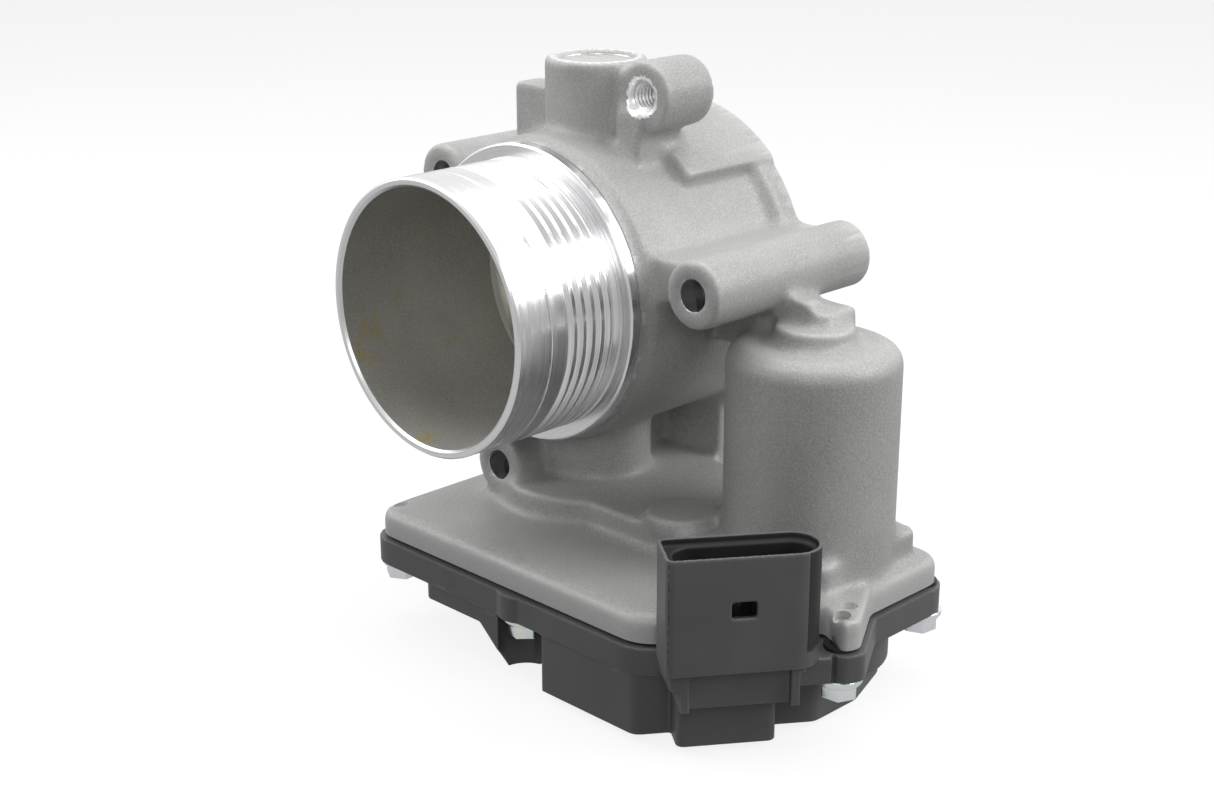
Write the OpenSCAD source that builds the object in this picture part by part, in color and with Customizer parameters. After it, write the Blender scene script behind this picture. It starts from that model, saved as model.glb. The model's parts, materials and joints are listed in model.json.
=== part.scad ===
// Electronic throttle body: a cast housing with a hose spigot, an upright throttle shaft, a motor
// canister and a flat gear case that is closed from below by a moulded cover with a plug socket.
// +Z is up, +Y runs along the air bore from the spigot to the manifold. The origin is the middle of
// the bore at the manifold face. Every shape is drawn about the point where the bore axis crosses the
// shaft axis, and in_place() carries it to the origin used outside.

/* [Bore] */
// Distance from the shaft axis to the manifold face
shaft_to_face = 28.5; // [28:0.5:30]
// Radius of the machined throat around the plate
throat_r = 26; // [26:0.1:26.5]
// Gap between the plate's rim and the throat
plate_gap = 0.1; // [0.08:0.02:0.2]
// Thickness of the throttle plate
plate_t = 2; // [1.5:0.1:2.2]
// Radius of the cast inlet behind the lip
inlet_r = 27.1; // [26.8:0.1:27.3]
// Radius of the register that pilots the manifold
register_r = 27.5; // [27:0.1:28]
// Depth of that register
register_depth = 2.5; // [1.5:0.1:2.6]

/* [Spigot] */
// Distance from the shaft axis to the front lip
lip_y = 49.4; // [48:0.1:52]
// Outside radius of the spigot's smooth band
spigot_r = 29; // [28.5:0.1:29.5]
// Length of the smooth band
band_length = 12.6; // [11:0.1:14]
// Number of grip ridges behind the band
ridge_count = 6; // [4:1:7]
// Depth of the grooves between the ridges
groove_depth = 0.7; // [0.4:0.1:1]
// Radius of the stop collar
collar_r = 32; // [31:0.1:33]
// Width of the stop collar
collar_w = 3; // [2:0.1:4]
// Distance from the shaft axis to the collar's rear face
collar_y = 18.7; // [18:0.1:19.5]

/* [Body] */
// Radius of the cast barrel
barrel_r = 33; // [32.5:0.1:33.5]
// Radius of the flange at the manifold face
flange_r = 35.2; // [34.5:0.1:36]
// Thickness of that flange
flange_t = 5; // [4:0.5:7]
// Radius of each bolt boss
bolt_boss_r = 7.1; // [6.6:0.1:7.5]
// Radius of the bolt holes, a clearance for M6
bolt_hole_r = 3.35; // [3.2:0.05:3.4]
// Height of the top bearing port above the bore axis
port_top = 48; // [47:0.5:49]
// Outside radius of the port
port_r = 10.9; // [10.5:0.1:11.5]
// Radius of the threaded bracket boss beside the port
bracket_boss_r = 7.35; // [7:0.05:7.6]
// Minor radius of its M6 thread
thread_r = 2.5; // [2.4:0.05:2.6]

/* [Gear case] */
// Height of the case's top face
case_top = -50; // [-50.5:0.1:-49.8]
// Height of the joint between case and cover
seam_z = -56; // [-56.5:0.1:-55.8]
// Wall thickness of the cast case
case_wall = 3; // [2.8:0.1:3.2]
// Radius of the soft edge around the top face
soft_edge = 3; // [1:0.5:3.5]
// Radius of the motor canister
canister_r = 17.9; // [17.6:0.1:18.2]

/* [Cover] */
// How far the cover's rim stands out around the case
rim_out = 1.2; // [0.8:0.1:1.5]
// Height of the rim's lower edge
rim_z = -62.5; // [-62.8:0.1:-62.2]
// Wall thickness of the moulded cover
cover_wall = 2; // [1.8:0.1:2.2]
// Height of the underside below the sector gear
shallow_z = -66.5; // [-67:0.1:-66.3]
// Height of the underside below the intermediate gear
deep_z = -75.8; // [-76.2:0.1:-75.6]
// Height of the plug socket's mouth
socket_top = -33; // [-34:0.1:-32]
// Number of blades in the plug socket
blade_count = 6; // [4:1:6]

/* [Gears] */
// Module of the throttle stage
throttle_module = 1; // [1:1]
// Teeth on a whole turn of the throttle sector
sector_teeth = 48; // [48:1:48]
// Teeth on the small intermediate gear
small_teeth = 28; // [28:1:28]
// Module of the motor stage
motor_module = 0.6; // [0.6:0.6]
// Teeth on the large intermediate gear
large_teeth = 76; // [76:1:76]
// Teeth on the motor pinion
pinion_teeth = 12; // [12:1:12]
// Play between the flanks of a pair
backlash = 0.14; // [0.1:0.01:0.2]
// Travel of the throttle from open to closed
travel = 90; // [80:1:90]

/* [Shaft] */
// Radius of the throttle shaft
shaft_r = 4; // [3.9:0.05:4.1]
// Running clearance in the bearings
running_gap = 0.03; // [0.02:0.01:0.05]

/* [Hidden] */
$fn = 64;
plate_r = throat_r - plate_gap;
spigot_root_y = -collar_y;

// Bolt bosses: position across the bore, front face, direction of the web that ties each to the barrel
bolt_posts = [
    [45.4, 8.1, -18.8],
    [-38, 18.1, -11.5],
    [-10.2, -41.6, -20.9]
];
bracket_pos = [18, -4.7, 41.9];
bracket_length = 14.4;

// Gear train. The intermediate axle lies where both centre distances meet.
motor_pos = [58.1, 4.2];
throttle_centres = throttle_module * (sector_teeth + small_teeth) / 2;
motor_centres = motor_module * (large_teeth + pinion_teeth) / 2;
span = norm(motor_pos);
along = (throttle_centres * throttle_centres - motor_centres * motor_centres + span * span) / (2 * span);
across = sqrt(throttle_centres * throttle_centres - along * along);
axle_pos = [
    (along * motor_pos[0] + across * motor_pos[1]) / span,
    (along * motor_pos[1] - across * motor_pos[0]) / span
];
throttle_line = atan2(axle_pos[1], axle_pos[0]);
motor_line = atan2(motor_pos[1] - axle_pos[1], motor_pos[0] - axle_pos[0]);
axle_r = 2.5;
throttle_pressure = 20;
motor_pressure = 25;

// Levels inside the gear case
ceiling_z = case_top - case_wall;
sector_low = -63.3;
sector_high = -58.8;
small_low = -64.2;
small_high = -57.6;
large_low = -70;
large_high = -65;
pinion_low = -70.8;
pinion_high = -64.4;
pedestal_top = -44;
axle_boss_top = -41.5;
axle_top = -43.2;
axle_low = -72.6;
sensor_z = -70.8;

// Bearings and seals on the throttle shaft
needle_r = 6;
needle_low = 33.5;
needle_high = 43;
upper_seal_low = 30.5;
plug_r = 7.7;
plug_low = 44;
plug_high = 47;
ball_bearing_r = 8;
ball_bearing_w = 5;
ball_bearing_high = -47.5;
lower_seal_r = 7;
lower_seal_high = -44;
shaft_top = 42.4;
shaft_low = -61.5;

// Motor
can_r = 15.6;
can_top = -8.6;
can_low = -50;
can_wall = 1.3;
motor_shaft_r = 1.6;
motor_plate_t = 1.5;
motor_screw_reach = 18.5;
motor_screw_turn = 130;

// Outline of the gear case, corner by corner: x, y, corner radius
case_x0 = -27.3;
case_x1 = 77.7;
case_y0 = -42.4;
case_y1 = 25.9;
slant = 54;
slant_dir = [cos(slant), sin(slant)];
slant_out = [sin(slant), -cos(slant)];
slant_start = [54.4, case_y0];
slant_end = [case_x1, case_y0 + (case_x1 - 54.4) * tan(slant)];
case_corners = [
    [case_x0, case_y0, 5],
    [slant_start[0], slant_start[1], 9],
    [slant_end[0], slant_end[1], 4],
    [case_x1, case_y1, 5],
    [case_x0, case_y1, 5]
];
lug_corners = [[74, -12, 1], [77.4, -12.9, 0.5], [84.2, -16.8, 1.2], [85.8, -13, 1.2], [77.7, 0.8, 1], [72, 0, 1]];
bulge_r = 27;
cover_screw_pos = [
    [-24.4, -37.4], [17.5, -38.6], [81.6, -13.6], [74.2, 22.4], [24.5, 21.9], [-24, 21.9]
];
lug_hole = [79.6, -8.9];
pilot_r = 1.8;
screw_boss_r = 4.2;
seal_t = 0.7;

// Plug socket, in a frame whose x runs along the slanted wall and whose y points out of it
socket_u0 = 3;
socket_u1 = 34;
socket_n0 = 1.4;
socket_n1 = 12.9;
socket_foot = -57.1;
foot_top = -56.9;
socket_wall = 1.4;
mouth_step = 1.6;
mouth_rim = 0.7;
socket_floor = -53;
foot_z = -60.7;
rib_z = -65.6;
blade_pitch = 4;
blade_u0 = 9.6;

// ---- placing ----
module in_place() {
    translate([0, -shaft_to_face, 0]) children();
}

// A cylinder along the bore, from y0 to y1, at height z and place x
module along_bore(x, z, r, y0, y1) {
    translate([x, y0, z]) rotate([-90, 0, 0]) cylinder(r = r, h = y1 - y0);
}

// A cylinder along the shaft, from z0 up to z1, at a place [x, y]
module upright(place, r, z0, z1) {
    translate([place[0], place[1], z0]) cylinder(r = r, h = z1 - z0);
}

module ring(place, r_out, r_in, z0, z1) {
    difference() {
        upright(place, r_out, z0, z1);
        upright(place, r_in, z0 - 1, z1 + 1);
    }
}

module block(x0, x1, y0, y1, z0, z1) {
    translate([x0, y0, z0]) cube([x1 - x0, y1 - y0, z1 - z0]);
}

// The slanted wall's own frame
module at_slant() {
    translate([slant_start[0], slant_start[1], 0]) rotate([0, 0, slant]) mirror([0, 1, 0]) children();
}

// ---- outlines ----
// A closed path of corners [x, y, radius], running anticlockwise, moved inwards by d and rounded
function unit(v) = v / norm(v);
function turn_of(a, b) = a[0] * b[1] - a[1] * b[0];
function inset_corner(p, i, d) =
    let (n = len(p),
         here = [p[i][0], p[i][1]],
         before = [p[(i + n - 1) % n][0], p[(i + n - 1) % n][1]],
         after = [p[(i + 1) % n][0], p[(i + 1) % n][1]],
         a = unit(here - before),
         b = unit(after - here),
         inward = [-a[1] - b[1], a[0] + b[0]],
         sense = turn_of(a, b) > 0 ? 1 : -1)
    concat(here + inward * d / (1 + a * b), [max(p[i][2] - sense * d, 0.2)]);
function inset(p, d) = [for (i = [0 : len(p) - 1]) inset_corner(p, i, d)];
function corner_arc(p, i, steps) =
    let (n = len(p),
         here = [p[i][0], p[i][1]],
         a = unit(here - [p[(i + n - 1) % n][0], p[(i + n - 1) % n][1]]),
         b = unit([p[(i + 1) % n][0], p[(i + 1) % n][1]] - here),
         bend = atan2(turn_of(a, b), a * b),
         sense = bend > 0 ? 1 : -1,
         r = p[i][2],
         tangent = r * tan(abs(bend) / 2),
         centre = here - a * tangent + sense * r * [-a[1], a[0]],
         first = atan2(-sense * a[0], sense * a[1]))
    [for (k = [0 : steps]) centre + r * [cos(first + bend * k / steps), sin(first + bend * k / steps)]];
function rounded(p, steps = 6) = [for (i = [0 : len(p) - 1]) each corner_arc(p, i, steps)];

module case_outline(d) {
    polygon(rounded(inset(case_corners, d)));
    circle(r = bulge_r - d);
}

// The cover leaves the sector gear more room, so its own bulge has a thinner wall
module cover_room() {
    polygon(rounded(inset(case_corners, case_wall)));
    circle(r = bulge_r + rim_out - cover_wall - 0.4);
}

module lug_outline(d) {
    polygon(rounded(inset(lug_corners, d)));
}

module slab(z0, z1) {
    translate([0, 0, z0]) linear_extrude(z1 - z0) children();
}

// ---- involute gears ----
function inv(a) = tan(a) * 180 / PI - a;
function half_tooth(m, z, pressure, play, r) =
    let (rp = m * z / 2, rb = rp * cos(pressure))
    90 / z - play / 4 / rp * 180 / PI + inv(pressure) - inv(acos(min(1, rb / max(r, rb))));
function flank_radii(m, z, pressure) =
    let (rp = m * z / 2, low = max(rp - m, rp * cos(pressure)), high = rp + m, steps = 5)
    [for (k = [0 : steps]) low + (high - low) * k / steps];
function tooth(m, z, pressure, play, at) =
    let (rp = m * z / 2,
         root = rp - 1.25 * m,
         radii = flank_radii(m, z, pressure),
         foot = half_tooth(m, z, pressure, play, radii[0]))
    concat(
        [root * [cos(at - foot), sin(at - foot)]],
        [for (r = radii) let (h = half_tooth(m, z, pressure, play, r)) r * [cos(at - h), sin(at - h)]],
        [for (i = [len(radii) - 1 : -1 : 0])
            let (r = radii[i], h = half_tooth(m, z, pressure, play, r)) r * [cos(at + h), sin(at + h)]],
        [root * [cos(at + foot), sin(at + foot)]]
    );
module gear_outline(m, z, pressure, turn) {
    polygon([for (k = [0 : z - 1]) each tooth(m, z, pressure, backlash, turn + k * 360 / z)]);
}

// ---- housing ----
// The housing's turned solid, about the bore axis: spigot, collar, barrel and flange
module turned_profile() {
    pitch = (lip_y - band_length - collar_y - collar_w) / ridge_count;
    first = -lip_y + band_length;
    ridges = [for (k = [0 : ridge_count - 1]) each [
        [spigot_r, first + pitch * k],
        [spigot_r - groove_depth, first + pitch * k + 0.6],
        [spigot_r - groove_depth, first + pitch * k + 1.1],
        [spigot_r, first + pitch * (k + 1) - 0.5]
    ]];
    polygon(concat(
        [[inlet_r - 2, -lip_y], [spigot_r - 0.4, -lip_y], [spigot_r, -lip_y + 0.4]],
        ridges,
        [[spigot_r, spigot_root_y - collar_w], [collar_r - 0.3, spigot_root_y - collar_w],
         [collar_r, spigot_root_y - collar_w + 0.3], [collar_r, spigot_root_y],
         [collar_r - 1, spigot_root_y], [barrel_r, spigot_root_y + 3], [barrel_r, shaft_to_face - flange_t - 2],
         [flange_r, shaft_to_face - flange_t], [flange_r, shaft_to_face], [inlet_r - 2, shaft_to_face]]
    ));
}

module bore_profile() {
    polygon([
        [0, -lip_y - 1], [inlet_r + 0.6, -lip_y - 1], [inlet_r + 0.6, -lip_y], [inlet_r, -lip_y + 0.6],
        [inlet_r - 0.4, -7.5], [throat_r, -6], [throat_r, shaft_to_face - register_depth],
        [register_r, shaft_to_face - register_depth], [register_r, shaft_to_face + 1], [0, shaft_to_face + 1]
    ]);
}

module about_bore() {
    rotate([-90, 0, 0]) rotate_extrude($fn = 128) children();
}

module cast_top() {
    upright([0, 0], port_r, 20, port_top);
    block(-21.5, -6, -4, 4, 24, 40.5);
    along_bore(bracket_pos[0], bracket_pos[2], bracket_boss_r, bracket_pos[1], bracket_pos[1] + bracket_length);
    block(11.5, 18.5, -6, 6.5, 24, 39);
    intersection() {
        along_bore(0, 0, 36.2, 1.5, shaft_to_face);
        rotate([0, -45, 0]) block(0, 40, 0, 30, 0, 40);
    }
}

module bolt_bosses() {
    for (post = bolt_posts) along_bore(post[0], post[1], bolt_boss_r, post[2], shaft_to_face);
    block(28, 45.4, -15, shaft_to_face, 3.5, 12.7);
    block(-38, -26, -8, shaft_to_face, 13, 22.5);
    block(-16.6, -3.9, -19, 25, case_top - 1, -41.6);
    block(-15.5, 0, -12.5, 25, -46, -28);
}

module canister() {
    translate([motor_pos[0], motor_pos[1], 0]) rotate_extrude() polygon([
        [0, case_top - 2], [canister_r, case_top - 2], [canister_r, -6.4], [canister_r - 1, -4.6],
        [canister_r - 3.4, -3.3], [8.2, -3.3], [8.2, 0.3], [0, 0.3]
    ]);
    block(28, 58, 2, 6.4, -8, 5);
    block(48, 62, 3, 13, -3, 3);
}

module case_body() {
    for (k = [0 : 5]) {
        lean = 90 * (k + 0.5) / 6;
        slab(case_top - soft_edge - 1, case_top - soft_edge * (1 - sin(90 * (k + 1) / 6)))
            case_outline(soft_edge * (1 - cos(lean)));
    }
    slab(seam_z, case_top - soft_edge) case_outline(0);
    slab(seam_z, case_top) lug_outline(0);
    slab(case_top - 1, pedestal_top) {
        circle(r = 23);
        polygon(rounded([[0, -17.6, 1], [64, -17.6, 6], [74.3, -9, 3], [74.3, 21, 3], [0, 21, 1]]));
    }
    upright(axle_pos, 7.8, pedestal_top - 1, axle_boss_top);
    upright([0, 0], 12.1, pedestal_top - 1, -28);
    block(-6, 17, shaft_to_face - flange_t - 1, shaft_to_face, case_top - 1, -28);
}

module case_hollow() {
    difference() {
        slab(seam_z - 1, ceiling_z) case_outline(case_wall);
        for (p = cover_screw_pos) upright(p, screw_boss_r, seam_z - 1, ceiling_z + 1);
    }
    upright(motor_pos, can_r + 0.15, seam_z - 1, can_top + 0.6);
    upright(motor_pos, 5, can_top, can_top + 2.4);
}

function motor_screw_pos(turn) =
    motor_pos + motor_screw_reach * [cos(motor_screw_turn + turn), sin(motor_screw_turn + turn)];

module shaft_holes() {
    upright([0, 0], shaft_r + 0.3, -55, 46);
    upright([0, 0], plug_r, plug_low, port_top + 1);
    upright([0, 0], needle_r, upper_seal_low, plug_low + 1);
    upright([0, 0], ball_bearing_r, ceiling_z - 1, ball_bearing_high);
    upright([0, 0], lower_seal_r, ball_bearing_high - 1, lower_seal_high);
}

module fastener_holes() {
    for (post = bolt_posts) along_bore(post[0], post[1], bolt_hole_r, post[2] - 1, shaft_to_face + 1);
    along_bore(bracket_pos[0], bracket_pos[2], thread_r, bracket_pos[1] - 1, bracket_pos[1] + 12.5);
    translate([bracket_pos[0], bracket_pos[1] - 0.01, bracket_pos[2]]) rotate([-90, 0, 0])
        cylinder(r1 = 3.7, r2 = thread_r - 0.3, h = 1.5);
    for (p = cover_screw_pos) upright(p, pilot_r, seam_z - 1, case_top + 1);
    upright(lug_hole, pilot_r, seam_z - 1, case_top + 1);
    for (s = [0, 180]) upright(motor_screw_pos(s), 1.25, ceiling_z - 1, ceiling_z + 7);
    upright(axle_pos, axle_r, ceiling_z - 1, axle_top);
}

module housing() color([0.72, 0.72, 0.71]) in_place() {
    difference() {
        union() {
            about_bore() turned_profile();
            cast_top();
            bolt_bosses();
            canister();
            case_body();
        }
        about_bore() bore_profile();
        case_hollow();
        shaft_holes();
        fastener_holes();
    }
}

// ---- throttle shaft, bearings and plate ----
module shaft_plug() color([0.6, 0.6, 0.58]) in_place() {
    difference() {
        upright([0, 0], plug_r, plug_low, plug_high);
        upright([0, 0], plug_r - 1.2, plug_low - 1, plug_high - 1.2);
    }
}

module upper_bearing() color([0.55, 0.56, 0.58]) in_place()
    ring([0, 0], needle_r, shaft_r + running_gap, needle_low, needle_high);

module upper_seal() color([0.1, 0.1, 0.1]) in_place()
    ring([0, 0], needle_r, shaft_r + running_gap, upper_seal_low, needle_low);

module lower_seal() color([0.1, 0.1, 0.1]) in_place()
    ring([0, 0], lower_seal_r, shaft_r + running_gap, ball_bearing_high, lower_seal_high);

module bearing_track(r) {
    ball_mid = ball_bearing_high - ball_bearing_w / 2;
    translate([0, 0, ball_mid]) rotate_extrude() translate([6, 0]) circle(r = r, $fn = 32);
}

module lower_bearing_outer() color([0.62, 0.63, 0.65]) in_place() difference() {
    ring([0, 0], ball_bearing_r, 6.8, ball_bearing_high - ball_bearing_w, ball_bearing_high);
    bearing_track(1.45);
}

module lower_bearing_balls() color([0.75, 0.76, 0.78]) in_place()
    for (k = [0 : 8]) rotate([0, 0, 40 * k])
        translate([6, 0, ball_bearing_high - ball_bearing_w / 2]) sphere(r = 1.38, $fn = 32);

module lower_bearing_inner() color([0.62, 0.63, 0.65]) in_place() difference() {
    ring([0, 0], 5.2, shaft_r, ball_bearing_high - ball_bearing_w, ball_bearing_high - 0.1);
    bearing_track(1.45);
}

plate_screw_z = 9;
plate_flat = 2.6;

module throttle_shaft() color([0.7, 0.7, 0.72]) in_place() difference() {
    upright([0, 0], shaft_r, shaft_low, shaft_top);
    block(-plate_t / 2, plate_t / 2, -6, 6, -plate_r, plate_r);
    block(plate_flat, 6, -6, 6, -plate_screw_z - 5, plate_screw_z + 5);
    for (s = [-1, 1]) translate([-6, 0, s * plate_screw_z]) rotate([0, 90, 0]) cylinder(r = 1.5, h = 12);
}

module throttle_plate() color([0.78, 0.74, 0.6]) in_place() difference() {
    rotate([0, 90, 0]) translate([0, 0, -plate_t / 2]) cylinder(r = plate_r, h = plate_t, $fn = 128);
    for (s = [-1, 1]) translate([-6, 0, s * plate_screw_z]) rotate([0, 90, 0]) cylinder(r = 1.5, h = 12);
}

module plate_screws() color([0.5, 0.5, 0.52]) in_place()
    for (s = [-1, 1]) translate([0, 0, s * plate_screw_z]) rotate([0, 90, 0]) difference() {
        union() {
            translate([0, 0, -3.4]) cylinder(r = 1.5, h = 3.4 + plate_flat);
            translate([0, 0, plate_flat]) cylinder(r = 2.7, h = 1.7);
        }
        translate([0, 0, plate_flat + 0.7]) cylinder(r = 1.2, h = 3, $fn = 6);
    }

// ---- throttle gear and spring ----
module gear_insert() color([0.6, 0.6, 0.6]) in_place()
    ring([0, 0], 5.8, shaft_r, shaft_low, ceiling_z - 0.8);

module sector_gear() color([0.16, 0.16, 0.17]) in_place() difference() {
    union() {
        upright([0, 0], 9.4, sector_low, ceiling_z - 1.2);
        upright([0, 0], 13.4, sector_low, sector_high);
        slab(sector_low, sector_high) intersection() {
            gear_outline(throttle_module, sector_teeth, throttle_pressure, throttle_line);
            rotate([0, 0, throttle_line - 101.2]) polygon(concat([[0, 0]],
                [for (k = [0 : 14]) 30 * [cos(k * 8.03), sin(k * 8.03)]]));
        }
    }
    upright([0, 0], 5.8, shaft_low, ceiling_z);
    ring([0, 0], 7.6, 4.6, sector_low - 1, sector_low + 1.6);
    ring([0, 0], 12.3, 10.6, sector_high - 1, sector_high + 1);
}

module sensor_magnet() color([0.25, 0.25, 0.27]) in_place()
    ring([0, 0], 7.6, 4.6, sector_low, sector_low + 1.6);

spring_turns = 2.6;
spring_r = 11.4;
wire_r = 0.75;
spring_low = -57.9;
spring_rise = 3.6;
spring_sides = 8;
spring_steps = 76;

// The spring's wire: a helix swept by rings of points
function wire_ring(k) =
    let (s = k / spring_steps, a = 360 * spring_turns * s + 40, z = spring_low + spring_rise * s)
    [for (j = [0 : spring_sides - 1])
        let (b = 360 * j / spring_sides, r = spring_r + wire_r * cos(b))
        [r * cos(a), r * sin(a), z + wire_r * sin(b)]];
module return_spring() color([0.45, 0.46, 0.48]) in_place() {
    points = [for (k = [0 : spring_steps]) each wire_ring(k)];
    last = spring_steps * spring_sides;
    polyhedron(points, concat(
        [[for (j = [0 : spring_sides - 1]) j]],
        [for (k = [0 : spring_steps - 1], j = [0 : spring_sides - 1])
            let (a = k * spring_sides, n = (j + 1) % spring_sides)
            [a + j, a + spring_sides + j, a + spring_sides + n, a + n]],
        [[for (j = [spring_sides - 1 : -1 : 0]) last + j]]
    ));
}

// ---- intermediate gear ----
module intermediate_axle() color([0.75, 0.75, 0.77]) in_place()
    upright(axle_pos, axle_r, axle_low, axle_top);

module intermediate_bush() color([0.62, 0.5, 0.3]) in_place()
    ring(axle_pos, 4, axle_r + running_gap, -71.4, -54.2);

module intermediate_gear() color([0.85, 0.84, 0.78]) in_place() difference() {
    union() {
        translate([axle_pos[0], axle_pos[1], 0]) slab(small_low, small_high)
            gear_outline(throttle_module, small_teeth, throttle_pressure,
                throttle_line + 180 + 180 / small_teeth);
        translate([axle_pos[0], axle_pos[1], 0]) slab(large_low, large_high)
            gear_outline(motor_module, large_teeth, motor_pressure, motor_line);
        upright(axle_pos, 11, large_high - 1, small_low + 1);
        upright(axle_pos, 6.5, -71, -54.6);
    }
    upright(axle_pos, 4, -80, -40);
    ring(axle_pos, 20, 9, large_low - 1, large_low + 1.6);
    ring(axle_pos, 20, 15.6, large_high - 1.6, large_high + 0.4);
}

// ---- motor ----
module motor_can() color([0.62, 0.63, 0.65]) in_place() difference() {
    union() {
        upright(motor_pos, can_r, can_low, can_top);
        upright(motor_pos, 4.4, can_top - 1, can_top + 2);
    }
    upright(motor_pos, can_r - can_wall, can_low - 1, can_top - can_wall);
    upright(motor_pos, 3.2, can_top - 3, can_top + 1);
}

module motor_magnets() color([0.2, 0.2, 0.2]) in_place() difference() {
    ring(motor_pos, can_r - can_wall, 11.6, -44, -15);
    translate([motor_pos[0], motor_pos[1], 0]) for (s = [0, 90])
        rotate([0, 0, s]) block(-20, 20, -3.5, 3.5, -50, 0);
}

module motor_bearings() color([0.6, 0.5, 0.3]) in_place() {
    ring(motor_pos, 3.2, motor_shaft_r + running_gap, can_top - 1.4, can_top + 1);
    ring(motor_pos, 3.6, motor_shaft_r + running_gap, -53.6, -50.2);
}

module motor_end_cap() color([0.15, 0.15, 0.15]) in_place() difference() {
    union() {
        upright(motor_pos, can_r - can_wall, -50.2, -48.6);
        upright(motor_pos, can_r, ceiling_z, can_low);
    }
    upright(motor_pos, 3.6, -54, -48);
    for (s = [0, 180]) translate([motor_pos[0], motor_pos[1], 0]) rotate([0, 0, s + 20])
        block(9, 13, -2, 2, -55, -48);
}

module motor_brushes() color([0.25, 0.22, 0.2]) in_place()
    for (s = [0, 180]) translate([motor_pos[0], motor_pos[1], 0]) rotate([0, 0, s + 20])
        block(5.1, 10.5, -1.6, 1.6, -48.6, -45.5);

module motor_plate() color([0.66, 0.67, 0.68]) in_place() difference() {
    union() {
        upright(motor_pos, can_r - 0.4, ceiling_z - motor_plate_t, ceiling_z);
        for (s = [0, 180]) upright(motor_screw_pos(s), 3, ceiling_z - motor_plate_t, ceiling_z);
        translate([motor_pos[0], motor_pos[1], 0]) rotate([0, 0, motor_screw_turn])
            block(-motor_screw_reach, motor_screw_reach, -2.6, 2.6, ceiling_z - motor_plate_t, ceiling_z);
    }
    upright(motor_pos, 5, ceiling_z - 3, ceiling_z + 1);
    for (s = [0, 180]) upright(motor_screw_pos(s), 1.5, ceiling_z - 3, ceiling_z + 1);
    for (s = [0, 180]) translate([motor_pos[0], motor_pos[1], 0]) rotate([0, 0, s + 20])
        block(8.6, 13.4, -2.4, 2.4, ceiling_z - 3, ceiling_z + 1);
}

module motor_screws() color([0.5, 0.5, 0.52]) in_place()
    for (s = [0, 180]) difference() {
        union() {
            upright(motor_screw_pos(s), 1.25, ceiling_z - motor_plate_t, ceiling_z + 6);
            upright(motor_screw_pos(s), 2.6, ceiling_z - motor_plate_t - 1.8, ceiling_z - motor_plate_t);
        }
        translate([motor_screw_pos(s)[0], motor_screw_pos(s)[1], ceiling_z - motor_plate_t - 2])
            cylinder(r = 1.3, h = 1.2, $fn = 6);
    }

module motor_shaft() color([0.78, 0.78, 0.8]) in_place()
    upright(motor_pos, motor_shaft_r, pinion_low - 0.4, can_top + 0.8);

module armature() color([0.6, 0.35, 0.2]) in_place() difference() {
    translate([motor_pos[0], motor_pos[1], 0]) union() {
        slab(-40, -17) difference() {
            circle(r = 11.1);
            for (k = [0 : 4]) rotate([0, 0, 72 * k]) translate([8, -0.8]) square([4, 1.6]);
            for (k = [0 : 4]) rotate([0, 0, 72 * k]) translate([7.4, 0]) circle(r = 1.9, $fn = 24);
        }
        slab(-42.4, -40) circle(r = 8.4);
        slab(-17, -14) circle(r = 8.4);
    }
    upright(motor_pos, motor_shaft_r, -60, 0);
}

module commutator() color([0.72, 0.45, 0.25]) in_place() difference() {
    ring(motor_pos, 5, motor_shaft_r, -48.4, -43);
    translate([motor_pos[0], motor_pos[1], 0]) for (k = [0 : 4])
        rotate([0, 0, 72 * k + 36]) block(4.4, 6, -0.25, 0.25, -49, -42);
}

module motor_pinion() color([0.75, 0.62, 0.35]) in_place() difference() {
    translate([motor_pos[0], motor_pos[1], 0]) slab(pinion_low, pinion_high)
        gear_outline(motor_module, pinion_teeth, motor_pressure, motor_line + 180 + 180 / pinion_teeth);
    upright(motor_pos, motor_shaft_r, -80, -50);
}

module wave_spring() color([0.55, 0.55, 0.57]) in_place()
    ring(motor_pos, 12, 9.5, can_top, can_top + 0.6);

module motor_contacts() color([0.75, 0.6, 0.3]) in_place()
    for (s = [0, 180]) translate([motor_pos[0], motor_pos[1], 0]) rotate([0, 0, s + 20])
        block(9.6, 12.4, -0.4, 0.4, -56, -48.6);

// ---- cover ----
module cover_seal() color([0.04, 0.04, 0.04]) in_place() slab(seam_z - seal_t, seam_z) difference() {
    union() {
        difference() {
            union() {
                case_outline(0.7);
                lug_outline(0.7);
            }
            case_outline(case_wall - 0.6);
        }
        for (p = cover_screw_pos) translate(p) circle(r = screw_boss_r - 0.8);
    }
    for (p = cover_screw_pos) translate(p) circle(r = pilot_r + 0.2);
    translate(lug_hole) circle(r = pilot_r);
}

cover_top = seam_z - seal_t;
pocket_y0 = case_y0 - 0.6;
deep_corners = [[12.5, pocket_y0, 1], [53.9, pocket_y0, 3], [75.6, -13.1, 4], [75.6, 0, 3],
    [70, 16.4, 6], [14, 16.4, 6], [12.5, 8, 2]];
// The middle of the deep part sits a little lower than its edge
belly_z = deep_z - 1.4;
belly_inset = 5;
gear_pocket_r = 26.6;
middle_boss_r = 5.9;
rim_bridge_n = 9.5;
notch_r = 5.7;
notch_x1 = 27.1;
notch_y1 = -37.4;

// The recess that leaves a spanner room around the middle screw
module notch(d) {
    translate(cover_screw_pos[1]) circle(r = notch_r + d);
    translate([cover_screw_pos[1][0], pocket_y0 - 8]) square([notch_x1 - cover_screw_pos[1][0] + d,
        notch_y1 - pocket_y0 + 8 + d]);
}

module deep_outline(d) difference() {
    union() {
        polygon(rounded(inset(deep_corners, d)));
        translate(axle_pos) circle(r = gear_pocket_r - d);
    }
    notch(d);
    translate([10, pocket_y0 - 8]) square([8, cover_screw_pos[1][1] - pocket_y0 + 8]);
}

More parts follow.
